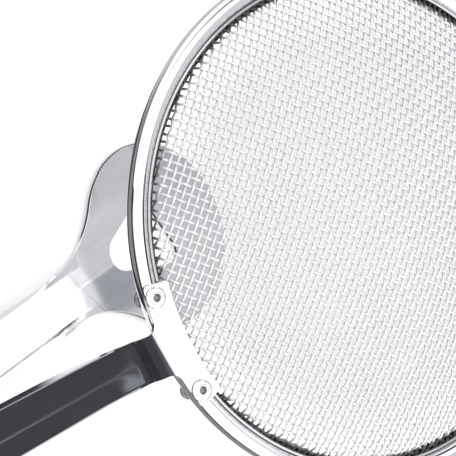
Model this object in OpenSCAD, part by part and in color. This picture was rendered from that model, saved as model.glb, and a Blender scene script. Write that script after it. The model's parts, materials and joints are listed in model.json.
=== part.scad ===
// Strainer tongs: a domed wire-mesh skimmer on a sprung handle, hinged at the tail to a clip arm with a
// serrated round plate that presses food against the inside of the dish. Lies on its clip arm, open.

/* [Clip arm] */
// X of the hinge pin in the row frame
hinge_x = -116.65; // [-160:0.1:-80]
// Height of the hinge pin above the surface the clip arm lies on
hinge_z = 7; // [5:0.1:10]
// Half width of the clip arm at the tail
clip_tail_half = 7.9; // [7:0.1:10]
// Half width of the clip arm where the neck starts to flare
clip_neck_half = 7.0; // [5:0.1:9]
// Distance from the hinge pin to the end of the side walls
clip_wall_end = 193.5; // [150:0.5:230]
// Height of the side walls of the clip arm
clip_wall_h = 6.5; // [4:0.1:9]
// Depth of the pressed fold along the clip arm
clip_fold = 1.0; // [0:0.1:2]
// Distance from the hinge pin to the centre of the round plate
plate_x = 228.4; // [180:0.5:260]
// Radius of the round plate over the teeth
plate_r = 25.9; // [18:0.1:35]
// Radius of the fillets between neck and plate
flare_r = 32; // [10:1:50]
// Depth of the edge teeth
tooth_depth = 0.35; // [0.1:0.05:0.8]
// Number of teeth along the edge
teeth = 100; // [40:1:140]
// Angle either side of the tip that the teeth cover
teeth_span = 112; // [60:1:130]
// Radius of the hanging hole
hang_r = 3.0; // [2:0.1:5]
// Distance from the hinge pin back to the hanging hole
hang_x = 14.5; // [12:0.5:25]

/* [Strainer arm] */
// Angle between strainer handle and clip arm when open
open_angle = 31.1; // [15:0.1:45]
// Angle between the strainer handle and the plane of the dish
dish_angle = 16.5; // [0:0.1:30]
// Half width of the strainer handle at the tail
handle_tail_half = 6.6; // [5:0.1:9]
// Half width of the strainer handle beside the bracket
handle_neck_half = 5.3; // [4:0.1:8]
// Height of the outside of the ridge above the hinge pin
ridge_h = 5.5; // [4:0.1:8]
// Depth of the pressed ridge along the strainer handle
handle_fold = 1.5; // [0:0.1:3]
// Depth of the side walls of the strainer handle
handle_wall_h = 5.5; // [3:0.1:8]
// Thickness of the pressed sheet of both arms
sheet = 1.0; // [0.6:0.1:1.5]
// Half angle that the bracket tab covers on the rim
tab_half_angle = 14.2; // [10:0.1:25]

/* [Dish] */
// Distance along the dish plane from the hinge pin to the dish centre
dish_x = 211; // [160:0.5:260]
// Distance of the dish plane above the hinge pin, square to that plane
dish_z = 50; // [20:0.5:90]
// Radius of the centre line of the rolled rim
rim_r = 61.0; // [45:0.1:80]
// Radius of the rolled rim's own section
rim_tube = 2.3; // [1.5:0.1:4]
// Wall of the rolled rim
rim_wall = 0.6; // [0.4:0.1:1]
// Height of the dome above the rim
dome_h = 13; // [6:0.5:25]
// Thickness of the woven cloth, drawn solid
cloth = 0.4; // [0.3:0.1:1]
// Radius of the rivet circle
rivet_pcr = 61.2; // [55:0.1:65]
// Half angle between the two bracket rivets
rivet_half_angle = 11.3; // [8:0.1:20]
// Radius of a rivet shank
rivet_r = 1.6; // [1:0.1:2.4]
// Radius of a rivet head
rivet_head_r = 2.65; // [2:0.05:4]

/* [Hinge] */
// Radius of the hinge pin
pin_r = 2.0; // [1.5:0.05:3]
// Running clearance of the pin in the strainer arm's ears
pin_gap = 0.05; // [0.02:0.01:0.1]
// Radius of the spring wire
wire_r = 0.6; // [0.4:0.05:0.8]
// Mean radius of the spring coils
coil_r = 2.95; // [2.6:0.05:3.3]
// Number of coils
coils = 6; // [3:1:8]
// Length of the spring legs
leg = 24; // [12:1:40]

/* [Hidden] */
$fn = 96;
tilt = open_angle - dish_angle;
rim_z = -1.1;
clamp_r = 57.9;
clamp_z = -0.1;
clamp_tube = 0.9;
tab_in = 57.0;
tab_out = 63.8;
tab_z = 1.26;
handle_len = 150;
ear_r = 4.2;
coil_pitch = 2 * wire_r - 0.08;
steel = [0.80, 0.81, 0.83];
dark_steel = [0.62, 0.63, 0.66];

function arc(cx, cy, r, a0, a1, n) = [for (i = [0:n]) [cx + r * cos(a0 + (a1 - a0) * i / n),
  cy + r * sin(a0 + (a1 - a0) * i / n)]];
function flip(pts) = [for (i = [len(pts) - 1:-1:0]) [pts[i][0], -pts[i][1]]];

// Flare between the neck of the clip arm and its plate
flare_cy = clip_neck_half + flare_r;
plate_body_r = plate_r - tooth_depth;
flare_dx = sqrt(pow(plate_body_r + flare_r, 2) - pow(flare_cy, 2));
flare_cx = plate_x - flare_dx;
flare_a = atan2(flare_cy, flare_dx);
smooth_to = 180 - flare_a;
n_smooth = 14;

// Points of the upper half of the clip arm's outline, from the tail to the tip
clip_upper = concat(
  [[-7, clip_tail_half], [40, clip_tail_half]],
  arc(flare_cx, flare_cy, flare_r, 270, 360 - flare_a, 18),
  [for (i = [1:n_smooth]) let (a = smooth_to + (teeth_span - smooth_to) * i / n_smooth)
    [plate_x + plate_body_r * cos(a), plate_body_r * sin(a)]],
  [for (i = [0:teeth - 1]) let (a = teeth_span * (1 - (i + 0.5) / teeth))
    [plate_x + (i % 2 == 0 ? plate_r : plate_body_r) * cos(a),
     (i % 2 == 0 ? plate_r : plate_body_r) * sin(a)]]);
clip_outline = concat(clip_upper, flip(clip_upper));

// Window in the plate: a rounded triangle with its blunt point towards the handle. Corners as [x, y, radius]
corners = [[213.9, 1.2, 5.2], [228.6, -5.7, 3.8], [225.9, 6.7, 4.2]];
function side_a(p, q) = atan2(q[1] - p[1], q[0] - p[0])
  - acos((p[2] - q[2]) / norm([q[0] - p[0], q[1] - p[1]]));
function up_to(a, b) = b < a ? up_to(a, b + 360) : b;
window = [for (i = [0:2]) let (p = corners[i], q = corners[(i + 1) % 3], o = corners[(i + 2) % 3],
  a0 = side_a(o, p), a1 = up_to(a0, side_a(p, q))) each arc(p[0], p[1], p[2], a0, a1, 12)];

// Puts a child drawn in the strainer handle's own axes (hinge at origin, X to the head) into place
module handle_frame() {
  translate([hinge_x, 0, hinge_z]) rotate([0, -open_angle, 0]) children();
}

// Puts a child drawn in the dish's own axes (dish centre at origin, Z out of the dome) into place
module dish_frame() {
  translate([hinge_x, 0, hinge_z]) rotate([0, -tilt, 0]) translate([dish_x, 0, dish_z]) children();
}

// Long bar with a folded top: peak height at y = 0, dropping by fold at half width
module folded_bar(x0, x1, half, fold, peak, depth) {
  translate([x0, 0, 0]) rotate([90, 0, 90]) linear_extrude(x1 - x0)
    polygon([[-half, peak - fold - depth], [-half, peak - fold], [-0.6, peak - 0.07 * fold], [0, peak],
      [0.6, peak - 0.07 * fold], [half, peak - fold], [half, peak - fold - depth]]);
}

// Strainer handle seen from above, narrowed by inset
module handle_plan(inset, x0, x1) {
  polygon([[x0, inset - handle_tail_half], [90, inset - handle_tail_half],
    [x1, inset - handle_neck_half], [x1, handle_neck_half - inset],
    [90, handle_tail_half - inset], [x0, handle_tail_half - inset]]);
}

module clip_arm() {
  color(steel) translate([hinge_x, 0, 0]) difference() {
    union() {
      // plate and neck
      intersection() {
        linear_extrude(sheet) polygon(clip_outline);
        translate([clip_wall_end - 3, -40, -1]) cube([120, 80, 4]);
      }
      // channel with the fold pressed outwards, that is down
      difference() {
        intersection() {
          translate([0, 0, clip_wall_h]) mirror([0, 0, 1])
            folded_bar(6, clip_wall_end + 1, clip_tail_half, clip_fold, clip_wall_h, 10);
          translate([0, 0, -1]) linear_extrude(clip_wall_h + 1) polygon(clip_outline);
        }
        intersection() {
          translate([0, 0, clip_wall_h + sheet]) mirror([0, 0, 1])
            folded_bar(5, clip_wall_end + 3, clip_tail_half, clip_fold, clip_wall_h, 14);
          translate([0, 0, -2]) linear_extrude(30) polygon([[-30, sheet - clip_tail_half],
            [40, sheet - clip_tail_half], [flare_cx, sheet - clip_neck_half],
            [260, sheet - clip_neck_half], [260, clip_neck_half - sheet],
            [flare_cx, clip_neck_half - sheet], [40, clip_tail_half - sheet],
            [-30, clip_tail_half - sheet]]);
        }
        // the walls run out towards the neck
        translate([0, -30, 0]) rotate([90, 0, 0]) mirror([0, 0, 1]) linear_extrude(60)
          polygon([[clip_wall_end - 20, clip_wall_h], [clip_wall_end, clip_fold + sheet],
            [clip_wall_end + 20, clip_fold + sheet], [clip_wall_end + 20, 30],
            [clip_wall_end - 20, 30]]);
      }
      // flat floor under the hinge and the tail tongue
      linear_extrude(sheet) union() {
        translate([-7, -clip_tail_half]) square([15, 2 * clip_tail_half]);
        translate([-hang_x, -6.5]) square([10, 13]);
        translate([-hang_x, 0]) circle(6.5);
      }
      // ears
      for (s = [-1, 1]) translate([0, s * (clip_tail_half - sheet / 2), hinge_z]) rotate([90, 0, 0])
        translate([0, 0, -sheet / 2]) linear_extrude(sheet) union() {
          circle(ear_r);
          translate([-7, -hinge_z]) square([16, hinge_z - 0.5]);
          translate([-ear_r, -1]) square([2 * ear_r, 1]);
        }
    }
    translate([0, 0, hinge_z]) rotate([90, 0, 0]) cylinder(r = pin_r, h = 40, center = true);
    translate([-hang_x, 0, -1]) cylinder(r = hang_r, h = 4);
    translate([0, 0, -1]) linear_extrude(4) polygon(window);
  }
}

module strainer_arm() {
  color(dark_steel) difference() {
    union() {
      handle_frame() difference() {
        union() {
          difference() {
            intersection() {
              folded_bar(-4, handle_len + 0.6, handle_tail_half, handle_fold, ridge_h, 10);
              translate([0, 0, ridge_h - handle_fold - handle_wall_h])
                linear_extrude(20) handle_plan(0, -4, handle_len + 2);
            }
            intersection() {
              folded_bar(-9, handle_len + 2, handle_tail_half, handle_fold, ridge_h - sheet, 20);
              translate([0, 0, -20]) linear_extrude(40) handle_plan(sheet, -9, handle_len + 4);
            }
            // the walls run out towards the bracket
            translate([0, -30, 0]) rotate([90, 0, 0]) mirror([0, 0, 1]) linear_extrude(60)
              polygon([[handle_len - 24, -30], [handle_len - 24, -3], [handle_len, 1.6],
                [handle_len + 9, 1.6], [handle_len + 9, -30]]);
          }
          // ears with a heel that stops against the clip arm when the tongs are open
          for (s = [-1, 1]) translate([0, s * (handle_tail_half - sheet / 2), 0]) rotate([90, 0, 0])
            translate([0, 0, -sheet / 2]) linear_extrude(sheet) union() {
              circle(4);
              translate([-4, 0]) square([12, 3]);
              rotate(-open_angle) polygon([[-3.4, -5.9], [0.6, -5.9], [3.6, -1], [0, 0], [-4, -1]]);
            }
        }
        rotate([90, 0, 0]) cylinder(r = pin_r + pin_gap, h = 40, center = true);
      }
      dish_frame() {
        // neck: a short steep fold between handle and tab
        intersection() {
          translate([0, 20, 0]) rotate([90, 0, 0]) linear_extrude(40) polygon([
            [-62.2, tab_z], [-65.2, tab_z], [-67.9, -2.9], [-71, -4.0], [-71, -2.75], [-68.9, -2.1],
            [-66.4, tab_z + 0.7], [-65.6, tab_z + sheet], [-62.2, tab_z + sheet]]);
          translate([0, 0, -10]) linear_extrude(20) difference() {
            translate([-75, -8]) square([14, 16]);
            circle(62.6);
            for (s = [-1, 1]) translate([-74.5, s * (handle_neck_half + 2.6)]) union() {
              square([16.2, 5.2], center = true);
              translate([8.1, 0]) circle(2.6);
            }
          }
        }
        // arc-shaped bracket tab over the rim
        translate([0, 0, tab_z]) linear_extrude(sheet) polygon(concat(
          arc(0, 0, tab_in, 180 - tab_half_angle, 180 + tab_half_angle, 24),
          arc(0, 0, tab_out, 180 + tab_half_angle, 180 - tab_half_angle, 24)));
      }
    }
    dish_frame() for (s = [-1, 1]) rotate(180 + s * rivet_half_angle) translate([rivet_pcr, 0, 0])
      cylinder(r = rivet_r + 0.05, h = 8);
  }
}

module rim_hoop() {
  color(steel) dish_frame() difference() {
    rotate_extrude() difference() {
      translate([rim_r, rim_z]) circle(rim_tube);
      translate([rim_r, rim_z]) circle(rim_tube - rim_wall);
      translate([rim_r - rim_tube - 1, -2.05]) square([2, 0.95]);
    }
    for (s = [-1, 1]) rotate(180 + s * rivet_half_angle) translate([rivet_pcr, 0, -8])
      cylinder(r = rivet_r + 0.05, h = 16);
  }
}

module clamp_ring() {
  color(steel) dish_frame() rotate_extrude() translate([clamp_r, clamp_z]) circle(clamp_tube);
}

module mesh_dish() {
  edge_r = 56.7;
  edge_z = -0.9;
  ball_r = (pow(edge_r, 2) + pow(dome_h, 2)) / (2 * dome_h);
  half = asin(edge_r / ball_r);
  ball_z = edge_z + dome_h - ball_r;
  color([0.86, 0.87, 0.88]) dish_frame() rotate_extrude($fn = 72) polygon(concat(
    arc(0, ball_z, ball_r, 90, 90 - half, 12),
    [[57.2, -1.2], [59.2, -1.3], [59.2, -1.3 - cloth], [57.0, -1.2 - cloth]],
    [for (i = [12:-1:0]) [(ball_r - cloth) * cos(90 - half * i / 12),
      ball_z + (ball_r - cloth) * sin(90 - half * i / 12)]]));
}

module one_rivet(s) {
  color(steel) dish_frame() rotate(180 + s * rivet_half_angle) translate([rivet_pcr, 0, 0])
    difference() {
      rotate_extrude() union() {
        translate([0, -6.6]) square([rivet_r, 6.6 + tab_z + sheet + 0.4]);
        translate([0, -6.2]) square([2.1, 2.7]);
        intersection() {
          translate([0, -4.95]) circle(2.55);
          translate([0, -7]) square([3, 3.5]);
        }
        intersection() {
          translate([0, tab_z + sheet + 0.02 - 3.6]) circle(4.47);
          translate([0, tab_z + sheet + 0.02]) square([rivet_head_r, 3]);
        }
      }
      translate([0, 0, -9]) cylinder(r = 0.9, h = 16);
      // ring groove left by the setting tool
      translate([0, 0, tab_z + sheet + 0.72]) rotate_extrude() translate([1.55, 0.2])
        circle(0.28, $fn = 24);
    }
}

module bracket_rivet_left() {
  one_rivet(-1);
}

module bracket_rivet_right() {
  one_rivet(1);
}

module one_stub(s) {
  color([0.35, 0.35, 0.37]) dish_frame() rotate(180 + s * rivet_half_angle)
    translate([rivet_pcr, 0, 0]) union() {
      translate([0, 0, -7.8]) cylinder(r = 0.86, h = 9.2);
      intersection() {
        translate([0, 0, -7.6]) sphere(1.5);
        translate([-3, -3, -10]) cube([6, 6, 2.3]);
      }
    }
}

module mandrel_stub_left() {
  one_stub(-1);
}

module mandrel_stub_right() {
  one_stub(1);
}

module hinge_pin() {
  color(steel) translate([hinge_x, 0, hinge_z]) rotate([90, 0, 0]) union() {
    cylinder(r = pin_r, h = 2 * clip_tail_half, center = true);
    for (s = [0, 1]) mirror([0, 0, s]) translate([0, 0, clip_tail_half + 0.02]) intersection() {
      translate([0, 0, -4.6]) sphere(5.8);
      cylinder(r = 3.4, h = 3);
    }
    cylinder(r = 1.6, h = 2 * clip_tail_half + 1, center = true);
  }
}

module torsion_spring() {
  y_end = (coils - 1) / 2 * coil_pitch;
  color([0.55, 0.56, 0.58]) translate([hinge_x, 0, hinge_z]) union() {
    rotate([90, 0, 0]) rotate_extrude($fn = 40) for (i = [0:coils - 1])
      translate([coil_r, -y_end + i * coil_pitch]) circle(wire_r, $fn = 20);
    // leg on the clip arm's floor
    translate([0, -y_end, -coil_r]) rotate([0, 90 + 4.4, 0])
      cylinder(r = wire_r - 0.02, h = leg, $fn = 24);
    // leg under the strainer handle
    rotate([0, -open_angle, 0]) translate([0, y_end, coil_r]) rotate([0, 90 - 0.4, 0])
      cylinder(r = wire_r - 0.02, h = leg, $fn = 24);
  }
}

clip_arm();
strainer_arm();
rim_hoop();
clamp_ring();
mesh_dish();
bracket_rivet_left();
bracket_rivet_right();
mandrel_stub_left();
mandrel_stub_right();
hinge_pin();
torsion_spring();
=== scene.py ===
import json
import math

import bpy
import numpy as np
from mathutils import Matrix, Vector
from mathutils.geometry import delaunay_2d_cdt


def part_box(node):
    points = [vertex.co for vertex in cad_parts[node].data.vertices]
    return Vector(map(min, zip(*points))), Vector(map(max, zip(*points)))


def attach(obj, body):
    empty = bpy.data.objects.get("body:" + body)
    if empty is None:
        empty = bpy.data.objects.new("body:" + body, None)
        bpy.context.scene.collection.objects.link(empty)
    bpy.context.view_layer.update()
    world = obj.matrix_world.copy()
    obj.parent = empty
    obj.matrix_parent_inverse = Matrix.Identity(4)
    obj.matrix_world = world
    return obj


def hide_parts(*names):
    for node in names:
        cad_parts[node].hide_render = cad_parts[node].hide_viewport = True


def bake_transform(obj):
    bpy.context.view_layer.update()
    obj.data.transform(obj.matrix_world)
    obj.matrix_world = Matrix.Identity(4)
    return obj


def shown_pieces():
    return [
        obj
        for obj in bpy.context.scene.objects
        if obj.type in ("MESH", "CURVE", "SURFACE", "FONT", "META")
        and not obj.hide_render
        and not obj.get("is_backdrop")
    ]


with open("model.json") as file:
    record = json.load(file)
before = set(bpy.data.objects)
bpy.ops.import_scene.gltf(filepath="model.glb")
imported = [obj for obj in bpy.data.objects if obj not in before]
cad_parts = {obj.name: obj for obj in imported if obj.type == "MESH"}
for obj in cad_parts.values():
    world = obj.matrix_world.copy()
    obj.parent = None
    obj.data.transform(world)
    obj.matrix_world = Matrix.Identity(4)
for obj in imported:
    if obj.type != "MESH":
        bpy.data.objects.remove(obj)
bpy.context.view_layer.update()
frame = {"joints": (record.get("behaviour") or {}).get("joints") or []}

rng = np.random.default_rng(7)
MM = 0.001

# -------------------- frames
# Shapes are worked out in millimetres, each in the frame that suits it: the clip arm's (hinge line at
# x = 0, z = 0 on the floor), the hinge's, the dish's (its centre at the origin, Z out of the dome), or a
# rivet's.
OPEN, DISH_ANGLE = 31.1, 16.5  # degrees: between the two arms, and between strainer arm and dish
OPEN_ANGLE = math.radians(OPEN)
TILT = math.radians(OPEN - DISH_ANGLE)
RIM_Z = -1.1
hinge = Vector(frame["joints"][0]["pos_m"])
rim_low, rim_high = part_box("rim_hoop")
dish_turn = Matrix.Rotation(-TILT, 4, "Y")
dish_centre = (rim_low + rim_high) / 2 - dish_turn.to_3x3() @ Vector((0, 0, RIM_Z * MM))
DISH = Matrix.Translation(dish_centre) @ dish_turn
CLIP = Matrix.Translation((hinge.x, 0, 0))
HINGE = Matrix.Translation(hinge)
hinge_in_dish = (DISH.inverted() @ hinge) / MM


# -------------------- shape helpers
MITRE = 1.2  # least squared length of two unit normals added at a corner, which blunts sharp corners
FAR = 1000.0  # further across than any blank reaches
CLEAR = 0.3  # inner points stay this far from the edges of a sheet


def ahead(angle):
    """Unit vector at this angle, in radians, from the first axis."""
    return np.array([math.cos(angle), math.sin(angle)])


def left_of(v):
    return np.array([-v[1], v[0]])


def smooth(x, a, b):
    """0 before a, 1 after b, with a soft step between."""
    t = np.clip((np.asarray(x, float) - a) / (b - a), 0, 1)
    return t * t * (3 - 2 * t)


def arc(cx, cy, r, a0, a1, n):
    """Points on an arc from a0 to a1 degrees."""
    a = np.radians(np.linspace(a0, a1, n + 1))
    return [(cx + r * c, cy + r * s) for c, s in zip(np.cos(a), np.sin(a))]


def dense(points, step):
    """The same open line with no segment longer than step."""
    out = [points[0]]
    for p, q in zip(points, points[1:]):
        n = max(1, math.ceil(math.dist(p, q) / step))
        out += [(p[0] + (q[0] - p[0]) * i / n, p[1] + (q[1] - p[1]) * i / n) for i in range(1, n + 1)]
    return out


def mirrored(upper):
    """A closed anticlockwise outline from its upper half, which runs from the tail to the tip."""
    lower = [(x, -y) for x, y in upper if y > 1e-6]
    return lower + upper[::-1]


def tidy_loop(points, least=0.03):
    """The loop without points that nearly coincide."""
    out = []
    for p in points:
        if not out or math.dist(p, out[-1]) > least:
            out.append(p)
    while math.dist(out[0], out[-1]) < least:
        out.pop()
    return np.array(out)


def inset(loop, d):
    """An anticlockwise loop moved inwards by d, or outwards if d is below 0."""
    along = np.roll(loop, -1, 0) - loop
    along /= np.linalg.norm(along, axis=1)[:, None]
    left = np.stack([-along[:, 1], along[:, 0]], 1)
    both = left + np.roll(left, 1, 0)
    size = np.maximum((both**2).sum(1), MITRE)
    return loop + both * (2 * d / size)[:, None]


def inside(points, loop):
    """Which points lie inside the loop."""
    x, y = points[:, 0], points[:, 1]
    odd = np.zeros(len(points), bool)
    for (x0, y0), (x1, y1) in zip(loop, np.roll(loop, -1, 0)):
        crosses = (y0 > y) != (y1 > y)
        if y1 != y0:
            odd ^= crosses & (x < (x1 - x0) * (y - y0) / (y1 - y0) + x0)
    return odd


def clear_of(points, loop, gap):
    """Which points are more than gap away from every side of the loop."""
    free = np.ones(len(points), bool)
    for a, b in zip(loop, np.roll(loop, -1, 0)):
        d = b - a
        t = np.clip(((points - a) @ d) / (d @ d), 0, 1)
        near = points - a - t[:, None] * d
        free &= (near**2).sum(1) > gap * gap
    return free


def unit(v):
    return v / np.maximum(np.linalg.norm(v, axis=1), 1e-12)[:, None]


def keep_place(mesh, matrix):
    """Moves a mesh from its own frame into the row frame, and keeps the old place of each point for the
    materials."""
    own = np.zeros(len(mesh.vertices) * 3, np.float32)
    mesh.vertices.foreach_get("co", own)
    mesh.attributes.new("place", "FLOAT_VECTOR", "POINT").data.foreach_set("vector", own)
    moved = own.reshape(-1, 3) @ np.array(matrix.to_3x3(), np.float32).T
    moved += np.array(matrix.translation, np.float32)
    mesh.vertices.foreach_set("co", moved.astype(np.float32).ravel())
    mesh.update()


def new_mesh(name, points, faces, matrix, normals=None, sharp=None):
    """A mesh object from points in millimetres in the frame of matrix."""
    mesh = bpy.data.meshes.new(name)
    mesh.from_pydata((np.asarray(points, float) * MM).tolist(), [], faces)
    keep_place(mesh, matrix)
    mesh.shade_smooth()
    if normals is not None:
        turned = np.asarray(normals, float) @ np.array(matrix.to_3x3()).T
        mesh.normals_split_custom_set_from_vertices(turned.tolist())
    elif sharp:
        mesh.set_sharp_from_angle(angle=math.radians(sharp))
    obj = bpy.data.objects.new(name, mesh)
    bpy.context.scene.collection.objects.link(obj)
    return obj


def filled(loops, inner):
    """Points and anticlockwise triangles that fill the first loop round the others, by way of those inner
    points that are clear of every loop."""
    keep = inside(inner, loops[0])
    for i, loop in enumerate(loops):
        keep &= clear_of(inner, loop, CLEAR)
        if i:
            keep &= ~inside(inner, loop)
    inner = inner[keep]
    flat = np.vstack(loops + [inner])
    edges, first = [], 0
    for loop in loops:
        n = len(loop)
        edges += [(first + i, first + (i + 1) % n) for i in range(n)]
        first += n
    made = delaunay_2d_cdt([Vector(p) for p in flat.tolist()], edges, [], 0, 1e-5)
    flat = np.array([tuple(v) for v in made[0]])
    tris = np.array([f for f in made[2] if len(f) == 3])
    middle = flat[tris].mean(1)
    keep = inside(middle, loops[0])
    for loop in loops[1:]:
        keep &= ~inside(middle, loop)
    tris = tris[keep]
    turn = np.cross(flat[tris[:, 1]] - flat[tris[:, 0]], flat[tris[:, 2]] - flat[tris[:, 0]])
    tris = tris[np.abs(turn) > 1e-7]
    turn = turn[np.abs(turn) > 1e-7]
    tris[turn < 0] = tris[turn < 0][:, ::-1]
    return flat, tris


def formed_sheet(name, outline, holes, inner, surface, thick, matrix, edge=0.14, steps=3):
    """One pressed sheet. outline and holes are loops on the flat blank, and surface folds points of the
    blank into place. The sheet has its thickness below that face, and softly rounded edges."""
    loops = [inset(tidy_loop(outline), edge)] + [inset(tidy_loop(h), -edge) for h in holes]
    flat, tris = filled(loops, inner)

    tiny = 0.02
    top = surface(flat)
    along = surface(flat + [tiny, 0]) - surface(flat - [tiny, 0])
    across = surface(flat + [0, tiny]) - surface(flat - [0, tiny])
    normal = unit(np.cross(along, across))

    directed = {(int(a), int(b)) for t in tris for a, b in zip(t, np.roll(t, -1))}
    border = [e for e in directed if (e[1], e[0]) not in directed]
    out = np.zeros_like(top)
    for a, b in border:
        side = np.cross(top[b] - top[a], normal[a] + normal[b])
        side /= max(np.linalg.norm(side), 1e-9)
        out[a] += side
        out[b] += side
    rim = sorted({v for e in border for v in e})
    grow = np.maximum((out[rim] ** 2).sum(1), MITRE)
    push = out[rim] * (2 / grow)[:, None]
    out_n = unit(push)
    at = {v: i for i, v in enumerate(rim)}
    n, m = len(top), len(rim)

    points, normals = [top, top - thick * normal], [normal, -normal]
    rings = []
    for end, sign in ((0, 1), (thick, -1)):
        for k in range(1, steps + 1):
            a = math.radians(90 * k / steps)
            lift = normal[rim] * (-sign * edge * (1 - math.cos(a)) - end)
            ring = top[rim] + push * (edge * math.sin(a)) + lift
            rings.append((sign, ring, unit(out_n * math.sin(a) + sign * math.cos(a) * normal[rim])))
    upper = [r for r in rings if r[0] == 1]
    under = [r for r in rings if r[0] == -1][::-1]
    for _, ring, ring_normal in upper + under:
        points.append(ring)
        normals.append(ring_normal)
    faces = tris.tolist() + (tris[:, ::-1] + n).tolist()
    levels = [lambda v: v]
    levels += [lambda v, k=k: 2 * n + k * m + at[v] for k in range(2 * steps)]
    levels += [lambda v: v + n]
    for a, b in border:
        for high, low in zip(levels, levels[1:]):
            faces.append((high(b), high(a), low(a), low(b)))
    used = sorted({v for f in faces for v in f})
    remap = np.full(2 * n + 2 * steps * m, -1)
    remap[used] = np.arange(len(used))
    points, normals = np.vstack(points)[used], np.vstack(normals)[used]
    faces = [[int(remap[v]) for v in f] for f in faces]
    return new_mesh(name, points, faces, matrix, normals=normals)


def revolve(name, profile, count, matrix, closed=False, sharp=35, wobble=None):
    """Turns a profile of (radius, z) points round Z. Points on the axis become one point."""
    profile = list(profile)
    rows = len(profile)
    angles = np.linspace(0, 2 * math.pi, count, endpoint=False)
    points, index = [], []
    for r, z in profile:
        if r < 1e-6:
            index.append([len(points)] * count)
            points.append((0, 0, z))
        else:
            index.append(list(range(len(points), len(points) + count)))
            for a in angles:
                dr, dz = wobble(a, r, z) if wobble else (0, 0)
                points.append(((r + dr) * math.cos(a), (r + dr) * math.sin(a), z + dz))
    faces = []
    for i in range(rows if closed else rows - 1):
        low, high = index[i], index[(i + 1) % rows]
        for j in range(count):
            k = (j + 1) % count
            ring = [low[j], low[k], high[k], high[j]]
            face = [v for v, w in zip(ring, ring[1:] + ring[:1]) if v != w]
            if len(face) > 2:
                faces.append(face)
    return new_mesh(name, points, faces, matrix, sharp=sharp)


def tube_mesh(name, lines, radius, sides, matrix, shades=None):
    """Round wires along many centre lines, each given as (points, up directions), as one mesh with capped
    ends."""
    ring = np.linspace(0, 2 * math.pi, sides, endpoint=False)
    cos_ring, sin_ring = np.cos(ring)[None, :, None], np.sin(ring)[None, :, None]
    all_points, quads, caps, shade, first = [], [], [], [], 0
    for number, (centre, up) in enumerate(lines):
        along = unit(np.gradient(centre, axis=0))
        side = unit(np.cross(along, up))
        up = np.cross(side, along)
        round_line = cos_ring * side[:, None, :] + sin_ring * up[:, None, :]
        n = len(centre)
        all_points.append((centre[:, None, :] + radius * round_line).reshape(-1, 3))
        i = first + np.arange(n - 1)[:, None] * sides + np.arange(sides)[None, :]
        j = first + np.arange(n - 1)[:, None] * sides + (np.arange(sides)[None, :] + 1) % sides
        quads.append(np.stack([i, i + sides, j + sides, j], -1).reshape(-1, 4))
        caps.append(first + np.arange(sides))
        caps.append(first + (n - 1) * sides + np.arange(sides)[::-1])
        shade.append(np.full(n * sides, shades[number] if shades is not None else 0.5))
        first += n * sides
    points = np.vstack(all_points) * MM
    quads, caps = np.vstack(quads), np.array(caps)
    mesh = bpy.data.meshes.new(name)
    mesh.vertices.add(len(points))
    mesh.vertices.foreach_set("co", points.astype(np.float32).ravel())
    corners = np.concatenate([quads.ravel(), caps.ravel()]).astype(np.int32)
    mesh.loops.add(len(corners))
    mesh.loops.foreach_set("vertex_index", corners)
    starts = [np.arange(len(quads)) * 4, len(quads) * 4 + np.arange(len(caps)) * sides]
    mesh.polygons.add(len(quads) + len(caps))
    mesh.polygons.foreach_set("loop_start", np.concatenate(starts).astype(np.int32))
    mesh.update(calc_edges=True)
    keep_place(mesh, matrix)
    mesh.shade_smooth()
    mark = mesh.attributes.new("shade", "FLOAT", "POINT")
    mark.data.foreach_set("value", np.concatenate(shade).astype(np.float32))
    obj = bpy.data.objects.new(name, mesh)
    bpy.context.scene.collection.objects.link(obj)
    return obj


# -------------------- materials
class Nodes:
    """Short names for making and joining shader nodes."""

    def __init__(self, tree):
        self.tree = tree
        tree.nodes.clear()

    def add(self, kind, **settings):
        node = self.tree.nodes.new(kind)
        for key, value in settings.items():
            setattr(node, key, value)
        return node

    def link(self, a, b):
        self.tree.links.new(a, b)

    def feed(self, sockets, *values):
        """Gives each socket its value, or a link where the value is another node's output."""
        for socket, value in zip(sockets, values):
            if isinstance(value, bpy.types.NodeSocket):
                self.link(value, socket)
            elif value is not None:
                socket.default_value = value

    def out(self, kind, *values, **settings):
        """The first output of a new node that is fed these values."""
        node = self.add(kind, **settings)
        self.feed(node.inputs, *values)
        return node.outputs[0]

    def math(self, operation, a, b=None, c=None, clamp=False):
        return self.out("ShaderNodeMath", a, b, c, operation=operation, use_clamp=clamp)

    def product(self, a, b):
        return self.math("MULTIPLY", a, b)

    def vector(self, operation, a, b=None):
        node = self.add("ShaderNodeVectorMath", operation=operation)
        self.feed(node.inputs, a, b)
        return node.outputs["Value"] if operation in ("DOT_PRODUCT", "LENGTH") else node.outputs[0]

    def ramp(self, value, low, high, out_low=0.0, out_high=1.0, soft=True):
        kind = "SMOOTHSTEP" if soft else "LINEAR"
        values = (value, low, high, out_low, out_high)
        return self.out("ShaderNodeMapRange", *values, interpolation_type=kind)

    def below(self, value, low, high):
        """1 up to low, 0 from high."""
        return self.ramp(value, low, high, 1.0, 0.0)

    def distance(self, x, y):
        """How far (x, y) is from the origin."""
        return self.vector("LENGTH", self.join(x, y, 0.0))

    def noise(self, where, scale, detail=3.0, rough=0.55):
        node = self.add("ShaderNodeTexNoise")
        names = ("Vector", "Scale", "Detail", "Roughness")
        self.feed([node.inputs[name] for name in names], where, scale, detail, rough)
        return node.outputs["Fac"]

    def mix(self, share, a, b):
        node = self.add("ShaderNodeMix", data_type="RGBA")
        self.feed([node.inputs[i] for i in (0, 6, 7)], share, a, b)
        return node.outputs[2]

    def split(self, vector):
        node = self.add("ShaderNodeSeparateXYZ")
        self.feed(node.inputs, vector)
        return node.outputs

    def join(self, x, y, z):
        return self.out("ShaderNodeCombineXYZ", x, y, z)


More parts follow.
